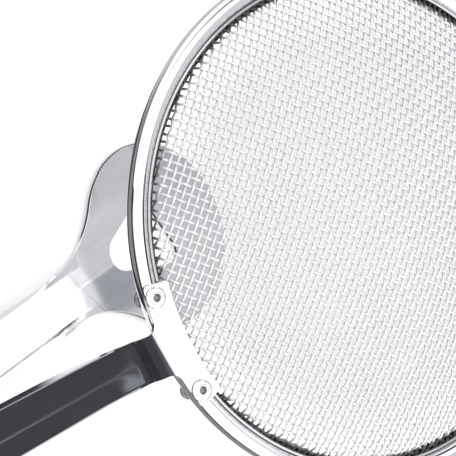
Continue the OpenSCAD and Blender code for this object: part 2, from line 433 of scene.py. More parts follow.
MOTTLE = 0.4  # how far the cloudiest spots go to the darker colour
# the darker colour that paints shade into crevices and along the crease, and dulls the rivets' ends
SHADE_AND_DULL = (0.05, 0.048, 0.046, 1)
# where the painted shade line crosses the clip arm along its crease
CREASE_X, CREASE_SLANT = 0.1945, 0.40
MARK_DEPTH = 0.00004  # depth of the brush marks, in metres


def steel(name, colour, dark, rough, streak, grain, streak_bump, crevice=None, shade=0.0):
    """Stainless steel. rough is the range of roughness. grain is the scale of the brush marks, which are
    streak times longer along the piece's X than across. crevice gives the share of painted shade (a dull
    darkening on the rivets' ends) from the place on the piece. shade is how far the "shade" value of a wire
    moves it to the darker colour."""
    material = bpy.data.materials.new(name)
    material.use_nodes = True
    n = Nodes(material.node_tree)
    shader = n.add("ShaderNodeBsdfPrincipled")
    out = n.add("ShaderNodeOutputMaterial")
    n.link(shader.outputs[0], out.inputs["Surface"])
    shader.inputs["Metallic"].default_value = 1.0
    shader.inputs["Specular IOR Level"].default_value = 0.5
    where = n.add("ShaderNodeAttribute", attribute_name="place").outputs["Vector"]
    x, y, z = n.split(where)
    along = n.join(n.math("DIVIDE", x, streak), y, z)
    fine = n.noise(along, grain, 2.0, 0.6)
    coarse = n.noise(along, grain * 0.22, 3.0, 0.5)
    cloud = n.noise(where, 55.0, 4.0, 0.6)
    smear = n.noise(n.join(n.math("DIVIDE", x, 2.5), y, z), 160.0, 5.0, 0.65)
    marks = n.math("MULTIPLY_ADD", coarse, 0.5, n.product(fine, 0.5))

    def with_marks(value):
        return n.math("MULTIPLY_ADD", value, 0.6, n.product(marks, 0.4))

    tone = n.ramp(with_marks(cloud), 0.3, 0.7)
    colour_out = n.mix(n.product(tone, MOTTLE), (*colour, 1), (*dark, 1))
    roughness = n.ramp(with_marks(smear), 0.35, 0.65, *rough)
    if shade:
        attribute = n.add("ShaderNodeAttribute", attribute_name="shade")
        colour_out = n.mix(n.product(attribute.outputs["Fac"], shade), colour_out, (*dark, 1))
    if crevice:
        # the crevice mask paints shade into the piece's crevices here, and a dull darkening on the rivets'
        # ends
        shade_and_dull_share = crevice(n, x, y, z)
        shade_and_dull_share = n.product(shade_and_dull_share, n.ramp(n.noise(where, 900.0, 3.0), 0.2, 0.6, 0.75, 1.0))
        colour_out = n.mix(shade_and_dull_share, colour_out, SHADE_AND_DULL)
        roughness = n.math("MULTIPLY_ADD", shade_and_dull_share, 0.45, roughness, clamp=True)
    n.link(colour_out, shader.inputs["Base Color"])
    n.link(roughness, shader.inputs["Roughness"])
    bump = n.add("ShaderNodeBump")
    bump.inputs["Strength"].default_value = streak_bump
    bump.inputs["Distance"].default_value = MARK_DEPTH
    n.link(marks, bump.inputs["Height"])
    n.link(bump.outputs[0], shader.inputs["Normal"])
    return material


# The masks for painted shade (and for the rivets' dull ends) take the place on the piece in metres, in
# the frame its shape was worked out in.
def off_tab(n, x, y):
    """1 away from the bracket tab, 0 at the tab, where no shade is painted on the rim."""
    return n.math("MAXIMUM", n.ramp(n.math("ABSOLUTE", y), 0.0125, 0.0155), n.ramp(x, -0.01, 0.01))


def under_cloth(n, x, y, z):
    """Painted shade on the hoop's inner flange and in its slot."""
    low = n.below(z, -0.0012, -0.0006)
    near = n.below(n.distance(x, y), 0.0582, 0.0585)
    return n.product(n.product(low, near), off_tab(n, x, y))


def cloth_edge(n, x, y, z):
    """Painted shade where the cloth dips under the clamp ring."""
    return n.product(n.ramp(n.distance(x, y), 0.0560, 0.0568), n.product(off_tab(n, x, y), 0.8))


def ring_foot(n, x, y, z):
    """Painted shade along the clamp ring's lower inner side."""
    return n.product(n.below(z, -0.0004, -0.0001), n.ramp(n.distance(x, y), 0.0582, 0.0585, 0.9, 0.0))


def blind_side(n, x, y, z):
    """Dull bulged ends of the rivets."""
    return n.product(n.below(z, -0.0033, -0.0027), 0.75)


def crease_shade(n, x, y, z):
    """A painted shade line along the crease across the clip arm, where the channel opens into the plate."""
    away = n.math("ABSOLUTE", n.math("ADD", n.math("MULTIPLY_ADD", y, CREASE_SLANT, x), -CREASE_X))
    line = n.below(away, 0.00008, 0.00032)
    between_walls = n.below(n.math("ABSOLUTE", y), 0.0058, 0.0066)
    return n.product(n.product(line, between_walls), 0.3)


# pairs of a clean and a darker colour
POLISHED = ((0.86, 0.86, 0.87), (0.74, 0.74, 0.76))
PRESSED = ((0.82, 0.82, 0.84), (0.68, 0.68, 0.71))
DRAWN = ((0.85, 0.85, 0.85), (0.73, 0.73, 0.74))
DULL = ((0.54, 0.54, 0.555), (0.44, 0.44, 0.46))
SPRING = ((0.56, 0.56, 0.58), (0.38, 0.38, 0.40))
TORN = ((0.34, 0.34, 0.36), (0.14, 0.13, 0.13))
rim_steel = steel("rim_steel", *POLISHED, (0.05, 0.10), 3.0, 900.0, 0.05, crevice=under_cloth)
ring_steel = steel("ring_steel", *DULL, (0.08, 0.16), 3.0, 900.0, 0.05, crevice=ring_foot)
rivet_steel = steel("rivet_steel", *POLISHED, (0.14, 0.26), 1.0, 1500.0, 0.2, crevice=blind_side)
arm_steel = steel("arm_steel", *PRESSED, (0.08, 0.15), 30.0, 2600.0, 0.10, crevice=crease_shade)
wire_steel = steel("wire_steel", *DRAWN, (0.52, 0.68), 1.0, 2500.0, 0.2, crevice=cloth_edge, shade=0.22)
spring_steel = steel("spring_steel", *SPRING, (0.25, 0.42), 1.0, 2500.0, 0.4)
stub_steel = steel("stub_steel", *TORN, (0.4, 0.65), 1.0, 2500.0, 0.8)


def finish_piece(obj, material, body, replaced):
    """Gives a piece its material and body, and hides the CAD node that it stands for."""
    obj.data.materials.append(material)
    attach(obj, body)
    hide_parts(replaced)


# -------------------- clip arm
# The blank's x is the distance from the hinge line, and its other coordinate the distance across the sheet.
SHEET = 1.0
TAIL_HALF, NECK_HALF = 7.9, 7.0
WALL_TOP = 6.5
WALL_GONE = 198.2  # x where the side walls have turned down into the floor
PLATE_X, PLATE_R, TOOTH = 228.4, 25.9, 0.42
SMOOTH_R = PLATE_R - 0.35  # the plate's edge where it has no teeth
TEETH, TEETH_SPAN = 100, 112
FLARE_R = 32.0  # fillets between neck and plate
FLARE_Y = NECK_HALF + FLARE_R
FLARE_DX = math.sqrt((SMOOTH_R + FLARE_R) ** 2 - FLARE_Y**2)
FLARE_X = PLATE_X - FLARE_DX
FLARE_A = math.degrees(math.atan2(FLARE_Y, FLARE_DX))
HANG_X, HANG_R, TAIL_R = 14.5, 3.0, 6.45
PIN_Z = hinge.z / MM
PIN_HOLE = 2.03
INNER_BEND = 0.7
FOLD_SOFT = 0.35  # rounds the bottom of the fold along the middle


def clip_half(x):
    """Half width over the side walls."""
    return np.interp(x, [40, FLARE_X], [TAIL_HALF, NECK_HALF])


def clip_slope(x):
    """Slope of each half of the floor up from the fold along the middle."""
    shallow = np.interp(x, [8, 22, 214, 234], [0, 0.135, 0.04, 0])
    deepening = np.interp(x, [22, 214], [0, 0.105]) * (1 - smooth(x, 174, 201))
    return shallow + deepening


def clip_turn(x):
    """Angle that the side walls turn up through."""
    return (math.pi / 2 - np.arctan(clip_slope(x))) * (1 - smooth(x, 175, 198))


def clip_flat(x):
    """Half width of the floor before the side bend starts."""
    flat = clip_half(x) - SHEET - INNER_BEND * (1 - clip_slope(x))
    return np.where(np.asarray(x) > WALL_GONE, FAR, flat)


def floor_rise(y, x):
    """Height of the folded floor over its lowest line, for a distance y from the middle. The slope dies
    away beyond a reach, which is wider on the plate."""
    soft = np.sqrt(y**2 + FOLD_SOFT**2) - FOLD_SOFT
    reach = 7.5 + 5 * smooth(x, 190, 212)
    past = np.maximum(soft - reach, 0)
    return clip_slope(x) * (np.minimum(soft, reach) + 3 * (1 - np.exp(-past / 3)))


def clip_surface(q):
    """Folds points of the clip arm's blank: a floor, a bend and a wall on each side."""
    x, s = q[:, 0], q[:, 1]
    a, flat, turn = np.abs(s), clip_flat(x), clip_turn(x)
    beta = np.arctan(clip_slope(x))
    y = np.minimum(a, flat)
    z = SHEET + floor_rise(y, x)
    bent = np.clip(a - flat, 0, INNER_BEND * turn) / INNER_BEND
    y = y + INNER_BEND * (np.sin(beta + bent) - np.sin(beta))
    z = z + INNER_BEND * (np.cos(beta) - np.cos(beta + bent))
    rest = np.maximum(a - flat - INNER_BEND * turn, 0)
    y = y + rest * np.cos(beta + turn)
    z = z + rest * np.sin(beta + turn)
    return np.stack([x, np.sign(s) * y, z], 1)


def clip_blank(x, z):
    """Distance across the blank of the point at height z on the side wall."""
    x = np.asarray(x, float)
    beta, turn, flat = np.arctan(clip_slope(x)), clip_turn(x), clip_flat(x)
    start = SHEET + floor_rise(flat, x) + INNER_BEND * (np.cos(beta) - np.cos(beta + turn))
    return flat + INNER_BEND * turn + (z - start)


def flare(x):
    """Half width of the blank along the fillet between neck and plate."""
    return FLARE_Y - np.sqrt(FLARE_R**2 - np.clip(x - FLARE_X, 0, FLARE_DX) ** 2)


tail = arc(-HANG_X, 0, TAIL_R, 180, 78, 22) + [(-9.5, 6.1), (-7.7, 6.1), (-7.25, 6.2), (-7.0, 6.6)]
ear = dense([(-7.0, 6.7), (-7.0, float(clip_blank(-7, 5.2)))], 0.4)
ear += arc(-5.8, float(clip_blank(-6, 5.3)), 1.2, 180, 95, 5)
ear += arc(0, float(clip_blank(0, PIN_Z)), 4.2, 172, 8, 30)
ear += [(4.9, float(clip_blank(5, WALL_TOP + 0.1)))]
wall_x = np.concatenate([np.arange(6.0, 172, 2.0), np.arange(172, 194, 0.5)])
wall_share = smooth(wall_x, 166, 194)
wall_s = clip_blank(np.minimum(wall_x, 176), WALL_TOP) * (1 - wall_share) + flare(wall_x) * wall_share
wall = list(zip(wall_x.tolist(), wall_s.tolist()))
neck = [p for p in arc(FLARE_X, FLARE_Y, FLARE_R, 270, 360 - FLARE_A, 60) if p[0] > 194.2]
shoulder = arc(PLATE_X, 0, SMOOTH_R, 180 - FLARE_A, TEETH_SPAN, 24)[1:]
teeth = []
for i in range(TEETH):
    a = math.radians(TEETH_SPAN * (1 - (i + 0.5) / TEETH))
    r = PLATE_R if i % 2 == 0 else PLATE_R - TOOTH
    teeth.append((PLATE_X + r * math.cos(a), r * math.sin(a)))
clip_outline = mirrored(tail + ear + wall + neck + shoulder + teeth)

# the window's rounded corners, as (x, y, radius)
CORNERS = [(213.9, 1.2, 5.2), (228.6, -5.7, 3.8), (225.9, 6.7, 4.2)]


def side_angle(p, q):
    """Angle round two corner circles at which the window's straight side touches them."""
    heading = math.atan2(q[1] - p[1], q[0] - p[0])
    return math.degrees(heading - math.acos((p[2] - q[2]) / math.dist(p[:2], q[:2])))


window = []
for i, p in enumerate(CORNERS):
    q, o = CORNERS[(i + 1) % 3], CORNERS[(i + 2) % 3]
    a0, a1 = side_angle(o, p), side_angle(p, q)
    while a1 < a0:
        a1 += 360
    window += arc(p[0], p[1], p[2], a0, a1, 16)
window = dense(window + window[:1], 1.2)[:-1]
hang_hole = arc(-HANG_X, 0, HANG_R, 0, 360, 40)[:-1]
clip_pin = [arc(0, s * float(clip_blank(0, PIN_Z)), PIN_HOLE, 0, 360, 32)[:-1] for s in (1, -1)]

# points between the edges: closer together across the fold and the bends, and where the walls turn down
columns = [0, 0.2, 0.45, 0.8, 1.4, 2.2, 3.2, 4.2, 5.1, 5.7, 6.05, 6.3, 6.5, 6.7, 6.9, 7.1, 7.3, 7.6]
columns += [8.2, 9.2, 10.2, 11.2]
columns = np.array([-c for c in columns[:0:-1]] + columns)
rows = np.concatenate([np.arange(-20, 12, 1.0), np.arange(12, 172, 2.5), np.arange(172, 201, 0.8)])
channel_points = np.array([(x, s) for x in rows for s in columns])
grid = [(x, y) for x in np.arange(201.0, 254.5, 1.1) for y in np.arange(-26.4, 26.5, 1.1)]
grid += [(x, y) for x in np.arange(201.5, 214, 1.1) for y in (-0.7, -0.35, 0.35, 0.7)]
beside_neck = np.arange(7.6, 11, 0.8)
grid += [(x, y) for x in np.arange(195, 200.5, 1.0) for y in (*beside_neck, *-beside_neck)]
clip_arm = formed_sheet("clip_arm_sheet", clip_outline, [window, hang_hole, *clip_pin],
                        np.vstack([channel_points, np.array(grid)]), clip_surface, SHEET, CLIP)
finish_piece(clip_arm, arm_steel, "clip_side", "clip_arm")

# -------------------- strainer arm
# The blank's p is the distance along the arm from the hinge line, and its s the distance across the sheet.
HANDLE_TAIL, HANDLE_NECK = 6.6, 5.3
RIDGE_H, RIDGE_DROP = 5.5, 1.5
RIDGE_SOFT = 0.8  # rounds the top of the ridge along the middle
OUTER_BEND = 0.9
HANDLE_END = 150.0
WALL_FADED = 152.3  # p where the side walls have turned out into the neck
NECK_P, NECK_FILLET = 152.0, 2.6
TAB_TOP, TAB_IN, TAB_OUT, TAB_HALF = 2.26, 57.0, 63.8, 14.2
RIVET_CIRCLE, RIVET_ANGLE = 61.2, 11.3
RIVET_HOLE, EAR_HOLE = 1.66, 2.05
handle_pitch = OPEN_ANGLE - TILT


def handle_to_dish(x, z):
    """A point of the handle's own axes (hinge at the origin) in the dish's X and Z."""
    c, s = math.cos(handle_pitch), math.sin(handle_pitch)
    return hinge_in_dish.x + x * c - z * s, hinge_in_dish.z + x * s + z * c


def rounded_path(corners, radii, step=0.02):
    """Points and heading angles along straight runs joined by arcs."""
    corners = np.array(corners, float)
    out = []
    at = corners[0]
    for before, corner, after, radius in zip(corners, corners[1:], corners[2:], radii):
        a0 = math.atan2(*(corner - before)[::-1])
        a1 = math.atan2(*(after - corner)[::-1])
        start = corner - radius * math.tan(abs(a1 - a0) / 2) * ahead(a0)
        run = start - at
        n = max(2, int(np.linalg.norm(run) / step / 8))
        out += [(*(at + run * k / n), a0) for k in range(n)]
        bend = math.copysign(1, a1 - a0) * radius
        centre = start + bend * left_of(ahead(a0))
        n = max(4, int(abs(a1 - a0) * radius / step))
        for k in range(n):
            a = a0 + (a1 - a0) * k / n
            out.append((*(centre - bend * left_of(ahead(a))), a))
        at = centre - bend * left_of(ahead(a1))
    run = corners[-1] - at
    n = max(2, int(np.linalg.norm(run) / step / 8))
    out += [(*(at + run * k / n), math.atan2(run[1], run[0])) for k in range(n + 1)]
    return np.array(out)


elbow = handle_to_dish(HANDLE_END, RIDGE_H)
STEEP = math.radians(58.4)
shoulder_x = elbow[0] + (TAB_TOP - elbow[1]) / math.tan(STEEP)
PATH_START = -12.0
corners = [handle_to_dish(PATH_START, RIDGE_H), elbow, (shoulder_x, TAB_TOP), (-50, TAB_TOP)]
path = rounded_path(corners, [3.0, 4.4])
path_p = np.concatenate([[0], np.cumsum(np.hypot(*np.diff(path[:, :2], axis=0).T))]) + PATH_START


def path_at_x(x):
    """Distance along the arm of the point of its middle line at this X of the dish."""
    return float(np.interp(x, path[:, 0], path_p))


def handle_half(p):
    """Half width over the side walls."""
    return np.interp(p, [90, 150], [HANDLE_TAIL, HANDLE_NECK])


def ridge_slope(p):
    """How steeply the top falls away on both sides of its ridge."""
    return RIDGE_DROP / handle_half(p) * (1 - smooth(p, 139, 151.5))


def handle_turn(p):
    """Angle that the sheet turns through from the top to the side wall."""
    return (math.pi / 2 - np.arctan(ridge_slope(p))) * (1 - smooth(p, 141, 152))


def handle_flat(p):
    """Distance across the blank where the top ends and the bend begins."""
    return np.where(np.asarray(p) > WALL_FADED, FAR, handle_half(p) - OUTER_BEND * (1 - ridge_slope(p)))


def handle_drop(s, p):
    """For a distance s across the blank: (distance from the middle plane, drop below the ridge)."""
    a, flat, turn, slope = np.abs(s), handle_flat(p), handle_turn(p), ridge_slope(p)
    beta = np.arctan(slope)
    y = np.minimum(a, flat)
    d = slope * (np.sqrt(y**2 + RIDGE_SOFT**2) - RIDGE_SOFT)
    bent = np.clip(a - flat, 0, OUTER_BEND * turn) / OUTER_BEND
    y = y + OUTER_BEND * (np.sin(beta + bent) - np.sin(beta))
    d = d + OUTER_BEND * (np.cos(beta) - np.cos(beta + bent))
    rest = np.maximum(a - flat - OUTER_BEND * turn, 0)
    return y + rest * np.cos(beta + turn), d + rest * np.sin(beta + turn)


def handle_surface(q):
    """Folds points of the strainer arm's blank: a ridge, a bend and a wall on each side, along the path."""
    p, s = q[:, 0], q[:, 1]
    y, d = handle_drop(s, p)
    cx, cz = np.interp(p, path_p, path[:, 0]), np.interp(p, path_p, path[:, 1])
    heading = np.interp(p, path_p, path[:, 2])
    return np.stack([cx + d * np.sin(heading), np.sign(s) * y, cz - d * np.cos(heading)], 1)


def handle_blank(x, z):
    """Distance across the blank of the point at height z, in the handle's axes, on the side wall."""
    x = np.asarray(x, float)
    flat, turn, slope = handle_flat(x), handle_turn(x), ridge_slope(x)
    beta = np.arctan(slope)
    start = slope * (flat - 0.5) + OUTER_BEND * (np.cos(beta) - np.cos(beta + turn))
    return flat + OUTER_BEND * turn + (RIDGE_H - z - start)


def on_ear(x, z):
    """The point of the blank that ends up at (x, z) of the handle's axes, on the side wall by the hinge."""
    return (x, float(handle_blank(0, z)))


# half of the outline: the tail, the ear round the hinge pin, the wall's lower edge, the neck and the tab
back = dense([(-4.0, 0), (-4.0, 4.6)], 0.5) + dense([(-4.0, 4.8), on_ear(-4.0, 1.2)], 0.4)
heel = [on_ear(-5.8, -2.9), on_ear(-5.6, -3.5), on_ear(-3.1, -5.2), on_ear(-2.4, -5.25)]
heel = dense([back[-1]] + heel + [on_ear(2.6, -2.7)], 0.6)[1:]
under = [on_ear(3.6, -1.9), on_ear(5.0, -1.55)]
low_x = np.concatenate([np.arange(7.0, 130, 2.5), np.arange(130, 152, 0.5)])
low_z = -1.5 + 4.4 * smooth(low_x, 128, 152)
share = smooth(low_x, 138, 151.5)
low_s = handle_blank(np.minimum(low_x, 141), low_z) * (1 - share) + HANDLE_NECK * share
under += list(zip(low_x.tolist(), low_s.tolist()))
fillet_y = HANDLE_NECK + NECK_FILLET
fillet_p = path_at_x(-math.sqrt(TAB_OUT**2 - fillet_y**2)) - NECK_FILLET
under += dense([(NECK_P, HANDLE_NECK), (fillet_p, HANDLE_NECK)], 0.4)
under += arc(fillet_p, fillet_y, NECK_FILLET, -90, 0, 14)[1:]


def tab_point(r, degrees):
    """The point of the blank that ends up at radius r of the dish, and this far round from the arm."""
    a = math.radians(degrees)
    return (path_at_x(-r * math.cos(a)), r * math.sin(a))


start_angle = math.degrees(math.asin(fillet_y / TAB_OUT))
CORNER = 0.9
lean = math.degrees(CORNER / TAB_OUT)
tab = [tab_point(TAB_OUT, a) for a in np.linspace(start_angle + 0.4, TAB_HALF - lean, 16)]
for r, turn0 in ((TAB_OUT - CORNER, 0), (TAB_IN + CORNER, 90)):
    for a in np.radians(np.linspace(turn0 + 8, turn0 + 90, 7)):
        radius = r + CORNER * math.cos(a)
        tab.append(tab_point(radius, TAB_HALF - lean + math.degrees(CORNER * math.sin(a) / r)))
tab += [tab_point(TAB_IN, a) for a in np.linspace(TAB_HALF - lean - 0.5, 0, 26)]
handle_outline = mirrored(back + heel + under + tab)
rivet_at = [tab_point(RIVET_CIRCLE, s * RIVET_ANGLE) for s in (1, -1)]
arm_holes = [arc(x, y, RIVET_HOLE, 0, 360, 28)[:-1] for x, y in rivet_at]
arm_holes += [arc(0, s * float(handle_blank(0, 0)), EAR_HOLE, 0, 360, 32)[:-1] for s in (1, -1)]
columns = [0, 0.25, 0.5, 0.8, 1.2, 1.8, 2.6, 3.4, 4.0, 4.4, 4.7, 4.95, 5.2, 5.45, 5.7, 5.95, 6.2, 6.45]
columns += [6.7, 7.0, 7.3, 8.0, 9.0, 10.0, 11.0, 12.0, 13.0, 14.0, 15.0]
columns = np.array([-c for c in columns[:0:-1]] + columns)
rows = np.concatenate([np.arange(-5, 10, 0.8), np.arange(10, 136, 2.5), np.arange(136, 149, 0.7)])
handle_points = [(p, s) for p in rows for s in columns]
handle_points += [(p, s) for p in np.arange(149, 158, 0.25) for s in np.arange(-9.6, 9.7, 0.6)]
handle_points += [(p, s) for p in np.arange(158, 164, 0.8) for s in np.arange(-15.2, 15.3, 0.8)]
strainer_arm = formed_sheet("strainer_arm_sheet", handle_outline, arm_holes, np.array(handle_points),
                            handle_surface, SHEET, DISH)
finish_piece(strainer_arm, arm_steel, "strainer_side", "strainer_arm")

# -------------------- hoop and clamp ring
RIM_R, RIM_TUBE = 61.0, 2.3
# the tube in section, then the slot and the flange inside it
hoop = arc(RIM_R, RIM_Z, RIM_TUBE, -144, 160, 60)
hoop += [(59.0, -0.42), (59.9, -0.5), (59.9, -1.95)]
hoop += [(58.6, -1.93), (56.7, -1.92), (56.5, -2.07), (56.7, -2.25), (58.7, -2.32)]
rim = revolve("rim_hoop_rolled", hoop, 288, DISH, closed=True, sharp=32)
finish_piece(rim, rim_steel, "strainer_side", "rim_hoop")

ring_profile = arc(58.33, -0.25, 0.4, 0, 360, 20)[:-1]
ring = revolve("clamp_ring_wire", ring_profile, 288, DISH, closed=True, sharp=60)
finish_piece(ring, ring_steel, "strainer_side", "clamp_ring")

# -------------------- woven cloth
CAP_R, CAP_EDGE, CAP_TOP = 55.3, 0.62, 11.9
ball = (CAP_R**2 + (CAP_TOP - CAP_EDGE) ** 2) / (2 * (CAP_TOP - CAP_EDGE))
STEP_OUT, STEP_Z, CLOTH_END = 57.3, -1.3, 59.0
WIRE_R = 0.32
WIRES_OUT = 56.6  # wires are laid up to this far from the middle
WIRE_POINTS = 5  # points along a wire from one crossing to the next
WEAVE = 1.02  # how far a wire swings to each side, in wire radii
WARP, WEFT = (42.0, 1.6), (-50.5, 1.95)  # direction in degrees, and pitch


def cloth_height(r):
    """Height of the cloth's middle: a cap of a ball, then a step down into the hoop's slot."""
    cap = np.sqrt(np.maximum(ball**2 - np.minimum(r, CAP_R) ** 2, 0)) - ball + CAP_TOP
    span = STEP_OUT - CAP_R
    slope = -CAP_R / math.sqrt(ball**2 - CAP_R**2) * span
    t = np.clip((r - CAP_R) / span, 0, 1)
    step = (2 * t**3 - 3 * t**2 + 1) * CAP_EDGE + (t**3 - 2 * t**2 + t) * slope
    step = step + (3 * t**2 - 2 * t**3) * STEP_Z
    return np.where(r < CAP_R, cap, step)


def weave(own, cross, sign):
    """Centre lines and shades of one set of wires. Each wire goes over and under the other set in turn."""
    direction, pitch = own
    cross_direction, cross_pitch = cross
    along = ahead(math.radians(direction))
    side = left_of(along)
    cross_side = left_of(ahead(math.radians(cross_direction)))
    count = int(WIRES_OUT / pitch)
    lines, shades = [], []
    for i in range(-count, count + 1):
        offset = i * pitch + rng.normal(0, 0.02)
        half = math.sqrt(CLOTH_END**2 - offset**2)
        step = cross_pitch / WIRE_POINTS / abs(along @ cross_side)
        n = max(8, int(2 * half / step))
        t = np.linspace(-half, half, n + 1)
        drift = 0.035 * np.sin(t / 9.0 + rng.uniform(0, 6.28))
        drift = drift + 0.02 * np.sin(t / 3.1 + rng.uniform(0, 6.28))
        flat = t[:, None] * along + (offset + drift)[:, None] * side
        r = np.hypot(flat[:, 0], flat[:, 1])
        z = cloth_height(r)
        e = 0.05
        slope = (cloth_height(r + e) - cloth_height(np.maximum(r - e, 0))) / (2 * e)
        far = np.maximum(r, 1e-6)
        up = unit(np.stack([-slope * flat[:, 0] / far, -slope * flat[:, 1] / far, np.ones_like(r)], 1))
        wave = np.cos(math.pi * ((flat @ cross_side) / cross_pitch + i)) * sign
        centre = np.column_stack([flat, z]) + up * (wave * WIRE_R * WEAVE)[:, None]
        lines.append((centre, up))
        shades.append(rng.uniform(0, 1))
    return lines, shades


for label, own, cross, sign in (("warp", WARP, WEFT, 1), ("weft", WEFT, WARP, -1)):
    lines, shades = weave(own, cross, sign)
    half = len(lines) // 2
    for part, chosen in (("a", slice(0, half)), ("b", slice(half, None))):
        cloth = tube_mesh(f"cloth_{label}_{part}", lines[chosen], WIRE_R, 6, DISH, shades[chosen])
        finish_piece(cloth, wire_steel, "strainer_side", "mesh_dish")

# -------------------- rivets
# profiles as (radius, height)
HEAD_BASE = TAB_TOP + 0.02
head = [(0.86, 1.0), (0.9, 2.75), (1.0, 2.98), (1.14, 3.04), (1.24, 3.02), (1.34, 2.92), (1.44, 2.84)]
head += [(1.58, 2.82), (1.70, 2.86), (1.79, 2.93), (1.9, 2.94), (2.15, 2.86), (2.4, 2.74), (2.56, 2.63)]
head += [(2.66, 2.48), (2.68, 2.34), (2.62, HEAD_BASE)]
shank = [(1.6, HEAD_BASE - 0.02), (1.6, -3.3), (1.8, -3.4), (2.1, -3.6), (2.12, -3.9), (2.0, -4.3)]
shank += [(1.75, -4.6), (1.5, -4.75), (1.25, -4.8), (1.0, -4.75), (0.86, -4.6)]
stem = [(0, -5.4), (0.6, -5.36), (0.95, -5.15), (1.02, -4.95), (0.84, -4.75), (0.84, 2.0)]
stem += [(0.74, 2.18), (0.62, 2.3), (0.5, 2.26), (0.34, 2.34), (0.16, 2.42), (0, 2.36)]


def rivet_wobble(phase):
    """Unevenness of a rivet's head, as a function of angle, radius and height."""
    def wobble(a, r, z):
        uneven = 0.03 * math.sin(2 * a + phase) + 0.015 * math.sin(5 * a + 2 * phase)
        return (uneven * min(r / 2, 1), 0.02 * math.sin(a + phase) if z > 2.4 else 0)

    return wobble


def torn_top(phase):
    """Unevenness of the broken top of a rivet's stem."""
    def wobble(a, r, z):
        return (0, 0.12 * math.sin(3 * a + phase) * math.sin(7 * r + a) if z > 2.1 else 0)

    return wobble


for label, s in (("left", -1), ("right", 1)):
    round_dish = Matrix.Rotation(math.radians(180 + s * RIVET_ANGLE), 4, "Z")
    at = DISH @ round_dish @ Matrix.Translation((RIVET_CIRCLE * MM, 0, 0))
    rivet = revolve(f"rivet_{label}", (head + shank)[::-1], 56, at, sharp=38, wobble=rivet_wobble(1.7 + s))
    finish_piece(rivet, rivet_steel, "strainer_side", f"bracket_rivet_{label}")
    stub = revolve(f"rivet_stem_{label}", stem, 28, at, sharp=30, wobble=torn_top(s))
    finish_piece(stub, stub_steel, "strainer_side", f"mandrel_stub_{label}")

# -------------------- hinge pin and spring
pin_half = [(0, 9.16), (0.5, 9.18), (0.8, 9.1), (0.9, 8.98), (1.1, 9.0), (1.6, 8.98), (2.3, 8.82)]
pin_half += [(2.9, 8.55), (3.25, 8.28), (3.4, 8.08), (3.36, 7.93), (2.0, 7.92)]
pin_profile = pin_half + [(r, -z) for r, z in reversed(pin_half)]
lying = Matrix.Rotation(math.radians(90), 4, "X")
pin = revolve("hinge_pin_headed", pin_profile[::-1], 56, HINGE @ lying, sharp=38)
finish_piece(pin, rivet_steel, "clip_side", "hinge_pin")

COIL_R, COIL_WIRE, COIL_Y, COIL_TURNS, LEG = 2.95, 0.56, 3.15, 6, 24.0
turns_end = 90 + math.degrees(OPEN_ANGLE) - 360 * COIL_TURNS
angles = np.radians(np.linspace(-90, turns_end, 330))
across = np.linspace(-COIL_Y, COIL_Y, len(angles))
coil = np.stack([COIL_R * np.cos(angles), across, COIL_R * np.sin(angles)], 1)
legs = []
for start, heading in ((coil[0], math.radians(-4.4)), (coil[-1], OPEN_ANGLE + math.radians(0.4))):
    t = np.linspace(0, LEG, 40)[1:]
    x, z = start[0] + t * math.cos(heading), start[2] + t * math.sin(heading)
    legs.append(np.stack([x, start[1] + 0 * t, z], 1))
centre = np.vstack([legs[0][::-1], coil, legs[1]])
up = np.tile([0.0, 1.0, 0.0], (len(centre), 1))
spring = tube_mesh("torsion_spring_wire", [(centre, up)], COIL_WIRE, 14, HINGE)
spring.data.materials.append(spring_steel)
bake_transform(spring)
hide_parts("torsion_spring")


# -------------------- studio
EYE = Vector((-0.34965, 0.1282, 0.5075))  # where the camera is


def on_floor(angle, radius=57.5):
    """Where the line from the eye through a point of the cloth's rim meets the floor."""
    turned = math.radians(angle)
    point = DISH @ (MM * Vector((radius * math.cos(turned), radius * math.sin(turned), -0.5)))
    return EYE + (point - EYE) * EYE.z / (EYE.z - point.z)


def shadow_share(n, x, y):
    """1 on the patch of floor that lies in the soft shadow of the cloth, 0 beyond its edge."""
    middle = (on_floor(0) + on_floor(180)) / 2
    middle = (middle + (on_floor(90) + on_floor(270)) / 2) / 2
    a, b = (on_floor(0) - on_floor(180)) / 2, (on_floor(90) - on_floor(270)) / 2
    size = a.x * b.y - a.y * b.x
    x, y = n.math("SUBTRACT", x, middle.x), n.math("SUBTRACT", y, middle.y)
    u = n.math("MULTIPLY_ADD", x, b.y / size, n.product(y, -b.x / size))
    v = n.math("MULTIPLY_ADD", y, a.x / size, n.product(x, -a.y / size))
    return n.below(n.distance(u, v), 0.72, 1.04)


